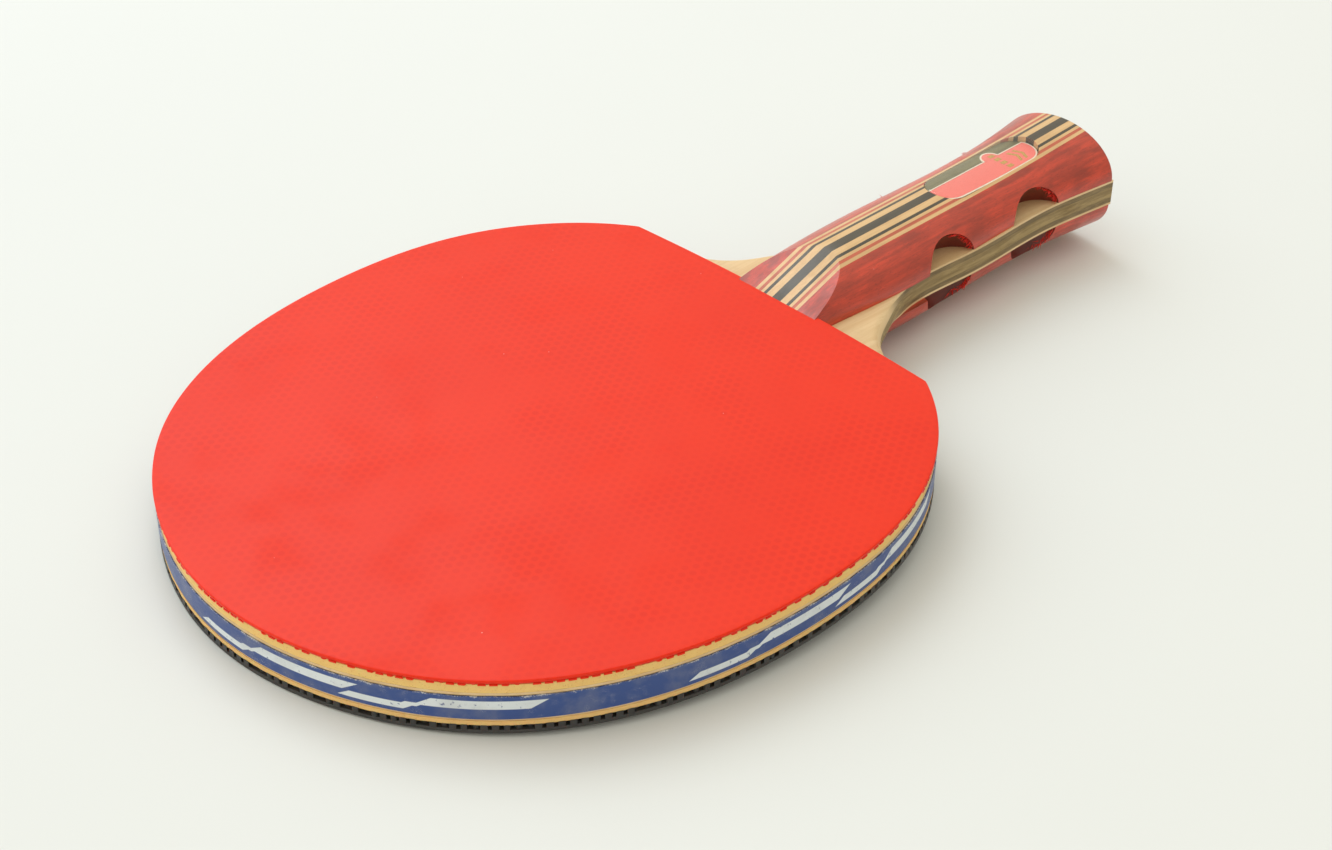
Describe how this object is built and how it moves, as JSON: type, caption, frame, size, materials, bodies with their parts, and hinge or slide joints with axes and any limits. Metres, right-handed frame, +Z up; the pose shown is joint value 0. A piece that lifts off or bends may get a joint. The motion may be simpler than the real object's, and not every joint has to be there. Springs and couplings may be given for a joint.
{
  "type": "table tennis paddle",
  "caption": "Table tennis paddle with a round wooden blade, red and black rubbers, blue edge tape and a flared, vented, striped handle.",
  "frame": {"origin": "centre of the bottom of the bounding box, on the table that the paddle lies on", "axes": "+Z up from the table, through the red rubber; +Y from the head's tip to the butt; +X to the right, seen from the butt's end towards the tip it is on the left"},
  "size_m": [0.1506, 0.2586, 0.03],
  "materials": {
    "face_veneer": "pale limba-like face veneer, sanded, thin matt sealer",
    "olive_veneer": "olive-brown dyed veneer, sanded edge",
    "core_wood": "straw-coloured light core wood, sanded edge",
    "edge_tape": "navy cloth-backed edge tape with pale grey bars",
    "sponge": "orange-yellow open foam",
    "red_rubber": "satin bright red rubber sheet",
    "black_rubber": "satin black rubber sheet",
    "label_print": null,
    "clear_lens": "clear domed resin lens",
    "dark_strip": "dark dyed wood, semi-gloss lacquer",
    "cream_strip": "cream wood, semi-gloss lacquer",
    "red_strip": "red dyed wood with dark grain, semi-gloss lacquer"
  },
  "bodies": {
    "root": {"back_centre_dark": "dark_strip", "back_inner_ply": "olive_veneer", "back_left_cream_mid": "cream_strip", "back_left_cream_outer": "cream_strip", "back_left_cream_wide": "cream_strip", "back_left_dark_line": "dark_strip", "back_left_red_block": "red_strip", "back_left_red_line": "red_strip", "back_outer_ply": "face_veneer", "back_right_cream_mid": "cream_strip", "back_right_cream_outer": "cream_strip", "back_right_cream_wide": "cream_strip", "back_right_dark_line": "dark_strip", "back_right_red_block": "red_strip", "back_right_red_line": "red_strip", "back_sheet": "black_rubber", "back_sponge": "sponge", "badge_label": "label_print", "badge_lens": "clear_lens", "core_ply": "core_wood", "edge_tape": "edge_tape", "front_centre_dark": "dark_strip", "front_inner_ply": "olive_veneer", "front_left_cream_mid": "cream_strip", "front_left_cream_outer": "cream_strip", "front_left_cream_wide": "cream_strip", "front_left_dark_line": "dark_strip", "front_left_red_block": "red_strip", "front_left_red_line": "red_strip", "front_outer_ply": "face_veneer", "front_right_cream_mid": "cream_strip", "front_right_cream_outer": "cream_strip", "front_right_cream_wide": "cream_strip", "front_right_dark_line": "dark_strip", "front_right_red_block": "red_strip", "front_right_red_line": "red_strip", "front_sheet": "red_rubber", "front_sponge": "sponge"}
  },
  "joints": []
}
